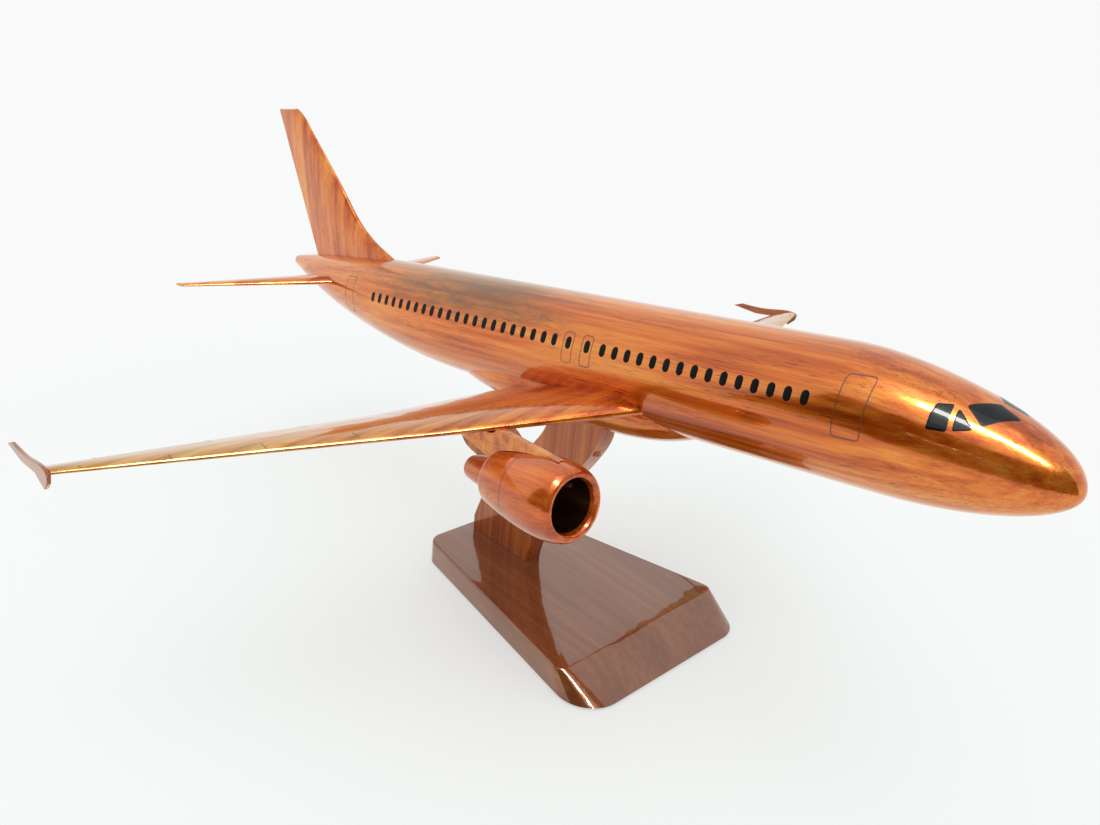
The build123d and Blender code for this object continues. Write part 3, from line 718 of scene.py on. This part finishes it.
def surface_mesh(rows, start, step=2.0):
    """Right wing or stabilizer, from a distance out to its tip, with spans about a step apart."""
    knots = [row[0] for row in rows]
    spans = [start]
    for a, b in zip(knots, knots[1:]):
        lo = max(a, start)
        spans += list(np.linspace(lo, b, max(2, int((b - lo) / step)))[1:])
    points = []
    for y in spans:
        points += [(x, -y, z) for x, z in section_points(*row_at(rows, y))]
    around = len(points) // len(spans)
    faces = grid_faces(len(spans), around, True, flip=True)
    return points, faces + end_caps(len(spans), around, flip=True)


def make_wings():
    for name, rows, root in (
        ("wing", WING_ROWS, WING_ROOT),
        ("stabilizer", STABILIZER_ROWS, STABILIZER_ROOT),
    ):
        points, faces = surface_mesh(rows, root)
        for surface in paired(name, points, faces, wing_wood):
            keep_edges_sharp(surface)


make_wings()


def make_wing_marks():
    """Fine scribed lines on the wing's upper face: slat gaps, flap and aileron edges."""
    points, faces = [], []

    def on_wing(share, y, lift):
        row = row_at(WING_ROWS, y)
        return (-(row[0] + (row[1] - row[0]) * share), -y, upper_height(row, share) + lift)

    # Each mark runs between two spots, given as a share of the chord and a distance out.
    marks = [((0.03, y), (0.17, y)) for y in (164, 143, 120, 96)]
    marks += [((0.74, y), (0.985, y)) for y in (158, 127.5, 72.5, 100)]
    marks += [((0.74, 158), (0.74, 127.5)), ((0.76, 118), (0.76, 103)), ((0.72, 96), (0.72, 80))]
    for start, end in marks:
        a, b = Vector(start), Vector(end)
        parts = 24
        line = [a.lerp(b, k / parts) for k in range(parts + 1)]
        row = row_at(WING_ROWS, (start[1] + end[1]) / 2)
        chord = row[1] - row[0]
        way = Vector((0, 1)) if start[1] == end[1] else Vector((1 / chord, 0))
        ribbon(points, faces, line, [way] * len(line), False, on_wing, 0.25, 0.03)
    make_lines("wing_lines", points, faces)


make_wing_marks()


def make_fin():
    """Fin with its dorsal fillet; a row is a height, the front and rear stations, and the thickness."""
    round_start, round_length = 82.2, 1.2
    per_side = 36
    rows = [
        (13.0, 284.0, 353.9, 4.6), (17.5, 285.0, 355.8, 5.0), (20.5, 291.0, 357.0, 5.2),
        (24.5, 300.5, 358.7, 5.4), (31.0, 311.8, 361.4, 5.4), (50.0, 330.6, 369.4, 4.2),
        (72.0, 352.4, 378.6, 2.8), (80.5, 361.0, 382.2, 2.3), (83.35, 365.8, 383.4, 2.0),
    ]
    knots = [row[0] for row in rows]
    heights = np.unique(
        np.concatenate([np.arange(13, 32, 0.6), np.arange(32, 80, 1.5), np.linspace(80, knots[-1], 9)])
    )
    front, rear, thick = (curve_through(knots, [row[k] for row in rows], heights) for k in (1, 2, 3))
    points = []
    share = (1 - np.cos(np.linspace(0, math.pi, per_side))) / 2
    for z, f, r, t in zip(heights, front, rear, thick):
        half = t * half_thickness(share) + share * TRAILING_EDGE / 2
        if z > round_start:
            half = half * math.sqrt(max(0.02, 1 - ((z - round_start) / round_length) ** 2))
        x = -(f + (r - f) * share)
        loop = list(zip(x, half))[::-1] + list(zip(x, -half))[1:]
        points += [(px, py, z) for px, py in loop]
    around = 2 * per_side - 1
    faces = grid_faces(len(heights), around, True) + end_caps(len(heights), around)
    fin = craft_mesh("fin_skin", points, faces, "fin")
    fin.data.materials.append(fin_wood)
    keep_edges_sharp(fin, 50)


make_fin()


# ---------------------------------------------------------------- engines
ENGINE_Y = 58.2
ENGINE_Z = -27.8


def smooth_line(spots, per):
    """Catmull-Rom line through 2D spots."""
    spots = [Vector(s) for s in spots]
    spots = [2 * spots[0] - spots[1]] + spots + [2 * spots[-1] - spots[-2]]
    line = []
    for p0, p1, p2, p3 in zip(spots, spots[1:], spots[2:], spots[3:]):
        for k in range(per):
            t = k / per
            line.append(
                0.5 * (2 * p1 + (p2 - p0) * t + (2 * p0 - 5 * p1 + 4 * p2 - p3) * t * t
                       + (3 * p1 - p0 - 3 * p2 + p3) * t ** 3)
            )
    return line + [spots[-2]]


def lathe(profile, columns):
    """Shape turned about the right engine's axis; the profile gives stations and radii."""
    points = []
    for station, radius in profile:
        for j in range(columns):
            a = 2 * math.pi * j / columns
            points.append((-station, -ENGINE_Y + radius * math.cos(a), ENGINE_Z + radius * math.sin(a)))
    return points, grid_faces(len(profile), columns, True)


def make_engines():
    columns, per = 96, 8
    inner_spots = [(129.5, 0.02), (129.3, 5.0), (127.2, 7.4), (121, 8.0), (115.6, 8.05)]
    outer_spots = [
        (113.2, 8.6), (112.5, 9.6), (113.2, 10.8), (115.4, 11.7), (120.5, 12.4),
        (127, 12.2), (134, 11.3), (140, 10.3), (145.4, 9.05),
    ]
    profile = smooth_line(inner_spots + outer_spots, per)
    profile += smooth_line([(145.85, 8.9), (146.0, 8.6), (145.9, 8.3)], 3) + [Vector((145.6, 0.02))]
    points, faces = lathe(profile, columns)
    # The painted shade inside the intake ends a quarter of the way from the last inner spot to the
    # first outer one.
    shaded_rows = (len(inner_spots) - 1) * per + per // 4
    for nacelle in paired("nacelle", points, faces, engine_wood):
        keep_edges_sharp(nacelle, 60)
        nacelle.data.materials.append(intake_painted_shade)
        for face in nacelle.data.polygons[:shaded_rows * columns]:
            face.material_index = 1

    spots = [(146.0, 5.7), (153, 5.0), (158.5, 4.1), (159.9, 3.6), (160.45, 2.8)]
    profile = [Vector((145.0, 5.7))] + smooth_line(spots, per)
    profile += [Vector((160.5, 2.2)), Vector((160.5, 0.02))]
    points, faces = lathe(profile, 64)
    for nozzle in paired("exhaust_nozzle", points, faces, engine_wood):
        keep_edges_sharp(nozzle, 60)

    points, faces = [], []
    for station, radius in ((121.5, 12.42), (133.0, 11.47)):
        ring, sides = lathe([(station - 0.14, radius), (station + 0.14, radius - 0.03)], columns)
        faces += [tuple(len(points) + i for i in f) for f in sides]
        points += ring
    make_lines("cowl_lines", points, faces)


make_engines()


# ---------------------------------------------------------------- CAD shapes with softened edges
def softened(node, width, material, body):
    """Copy of a CAD node with its triangles merged and its edges rounded over."""
    sharp_angle = math.radians(38)
    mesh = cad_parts[node].data.copy()
    mesh.materials.clear()
    work = bmesh.new()
    work.from_mesh(mesh)
    bmesh.ops.remove_doubles(work, verts=work.verts, dist=0.00002)
    flat = math.radians(1.0)
    bmesh.ops.dissolve_limit(work, angle_limit=flat, verts=work.verts, edges=work.edges)
    work.to_mesh(mesh)
    work.free()
    obj = bpy.data.objects.new(f"{node}_skin", mesh)
    bpy.context.scene.collection.objects.link(obj)
    mesh.materials.append(material)
    bevel = obj.modifiers.new("round", "BEVEL")
    bevel.width = width * MM
    bevel.segments = 3
    bevel.limit_method = "ANGLE"
    bevel.angle_limit = sharp_angle
    bevel.harden_normals = True
    mesh.shade_smooth()
    mesh.set_sharp_from_angle(angle=sharp_angle)
    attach(obj, body)
    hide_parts(node)


for side in ("right", "left"):
    softened(f"pylon_{side}", 0.35, wing_wood, "aircraft")
    softened(f"wingtip_fence_{side}", 0.3, fence_wood, "aircraft")
softened("stand_upright", 0.6, upright_wood, "stand")
softened("base_board", 0.5, stand_wood, "stand")

# The fixings keep their CAD shapes. The pegs show a little above the upright, and match it.
FIXINGS = {
    "wing_dowels_right": raw_wood, "wing_dowels_left": raw_wood, "fin_dowels": raw_wood,
    "stabilizer_dowels": raw_wood, "lift_pegs": upright_wood, "base_dowel": raw_wood,
    "pylon_pins": steel, "base_screws": steel, "felt_pad": felt,
}
for node, material in FIXINGS.items():
    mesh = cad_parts[node].data
    mesh.materials.clear()
    mesh.materials.append(material)


# ---------------------------------------------------------------- studio
BACKDROP = (0.945, 0.95, 0.95)


def studio_piece(name, points, faces, material):
    mesh = bpy.data.meshes.new(name)
    mesh.from_pydata(points, [], faces)
    mesh.materials.append(material)
    piece = bpy.data.objects.new(name, mesh)
    bpy.context.scene.collection.objects.link(piece)
    return piece


def make_floor(size=8.0):
    """Pale floor that brightens into the backdrop away from the model."""
    material, tree, surface = new_material("studio_floor")
    diffuse = add_node(tree, "ShaderNodeBsdfDiffuse")
    diffuse.inputs["Color"].default_value = (0.86, 0.94, 0.92, 1)
    glow = add_node(tree, "ShaderNodeEmission")
    glow.inputs["Color"].default_value = (*BACKDROP, 1)
    place = add_node(tree, "ShaderNodeTexCoord")
    reach = add_node(tree, "ShaderNodeVectorMath", operation="LENGTH")
    tree.links.new(place.outputs["Object"], reach.inputs[0])
    fade = add_node(tree, "ShaderNodeMapRange", interpolation_type="SMOOTHSTEP")
    fade.inputs["From Min"].default_value = 0.10
    fade.inputs["From Max"].default_value = 0.36
    fade.inputs["To Min"].default_value = 0.5
    tree.links.new(reach.outputs["Value"], fade.inputs["Value"])
    blend = add_node(tree, "ShaderNodeMixShader")
    tree.links.new(fade.outputs["Result"], blend.inputs[0])
    tree.links.new(diffuse.outputs[0], blend.inputs[1])
    tree.links.new(glow.outputs[0], blend.inputs[2])
    tree.links.new(blend.outputs[0], surface)
    corners = [(-size, -size, 0), (size, -size, 0), (size, size, 0), (-size, size, 0)]
    studio_piece("studio_floor", corners, [(0, 1, 2, 3)], material)


def make_world():
    world = bpy.data.worlds.new("studio")
    bpy.context.scene.world = world
    world.use_nodes = True
    background = world.node_tree.nodes["Background"]
    background.inputs["Color"].default_value = (*BACKDROP, 1)
    background.inputs["Strength"].default_value = 1.0


def soft_light(name, place, target, size, power):
    light = bpy.data.lights.new(name, "AREA")
    light.shape = "RECTANGLE"
    light.size, light.size_y = size
    light.energy = power
    obj = bpy.data.objects.new(name, light)
    obj.location = place
    obj.rotation_euler = (Vector(target) - Vector(place)).to_track_quat("-Z", "Y").to_euler()
    bpy.context.scene.collection.objects.link(obj)


def reflected_piece(name, points, faces, colour, strength):
    """Glowing studio piece that shows only in glossy reflections."""
    material, tree, surface = new_material(name)
    glow = add_node(tree, "ShaderNodeEmission")
    glow.inputs["Color"].default_value = (*colour, 1)
    glow.inputs["Strength"].default_value = strength
    tree.links.new(glow.outputs[0], surface)
    piece = studio_piece(name, points, faces, material)
    piece.visible_camera = False
    piece.visible_diffuse = False
    piece.visible_shadow = False
    piece.visible_transmission = False


def dark_card(name, radius, start, end, height, shade, ragged):
    """Curved dark card standing round the model between two angles, its top edge slightly uneven."""
    columns = 160
    points = []
    for level, sway in ((0.0, 0.0), (height, ragged)):
        for j in range(columns + 1):
            a = math.radians(start + (end - start) * j / columns)
            rise = sway * (math.sin(7 * a) + 0.6 * math.sin(23 * a + 1) + 0.4 * math.sin(61 * a))
            points.append((radius * math.cos(a), radius * math.sin(a), level + rise))
    reflected_piece(name, points, grid_faces(2, columns + 1, False), shade, 1.0)


def bright_strip(name, start, end, width, strength):
    """Long narrow light, seen only in the lacquer."""
    a, b = Vector(start), Vector(end)
    side = (b - a).cross(Vector((0, 0, 1))).normalized() * width / 2
    points = [a - side, a + side, b + side, b - side]
    reflected_piece(name, points, [(0, 1, 2, 3)], (1.0, 0.99, 0.97), strength)


def make_flecks(count=7, spacing=0.05, length=0.018):
    """Row of small bright spots that break up the reflection beside the nose."""
    for spot in range(count):
        x = 0.06 + spacing * spot
        z = 0.34 + 0.02 * math.sin(5.0 * spot)
        bright_strip(f"fleck_{spot}", (x, -0.72, z), (x + length, -0.72, z), width=0.01, strength=18.0)


make_floor()
make_world()
dark_card(
    "dark_side", radius=0.8, start=-118, end=14, height=0.72, shade=(0.02, 0.010, 0.006), ragged=0.012
)
bright_strip("strip", (-0.02, -0.34, 0.93), (0.80, -0.24, 0.93), width=0.12, strength=42.0)
make_flecks()
soft_light("key", place=(0.2, -0.3, 1.2), target=(0, 0, 0.1), size=(0.9, 0.9), power=2.4)

# ---------------------------------------------------------------- camera
# The viewpoint is held in the aircraft's own frame, close to the nose on the right side.
EYE = Vector((77.4, -238.9, 77.2))
AIM = Vector((-158.3, -26.6, -15.8))
SENSOR_WIDTH = 36.0
FOCAL_SHARE = 0.8999  # focal length as a share of the picture's width

camera_data = bpy.data.cameras.new("camera")
camera_data.sensor_width = SENSOR_WIDTH
camera_data.lens = SENSOR_WIDTH * FOCAL_SHARE
camera_data.clip_start, camera_data.clip_end = 0.01, 50.0
camera = bpy.data.objects.new("camera", camera_data)
bpy.context.scene.collection.objects.link(camera)
forward = (CRAFT.to_3x3() @ (AIM - EYE)).normalized()
rightward = forward.cross(CRAFT.to_3x3() @ Vector((0, 0, 1))).normalized()
upward = rightward.cross(forward)
turn = Matrix((rightward, upward, -forward)).transposed().to_4x4()
camera.matrix_world = Matrix.Translation((CRAFT @ EYE) * MM) @ turn
bpy.context.scene.camera = camera

scene = bpy.context.scene
scene.view_settings.view_transform = "Standard"
scene.view_settings.look = "None"
scene.view_settings.exposure = 0.0
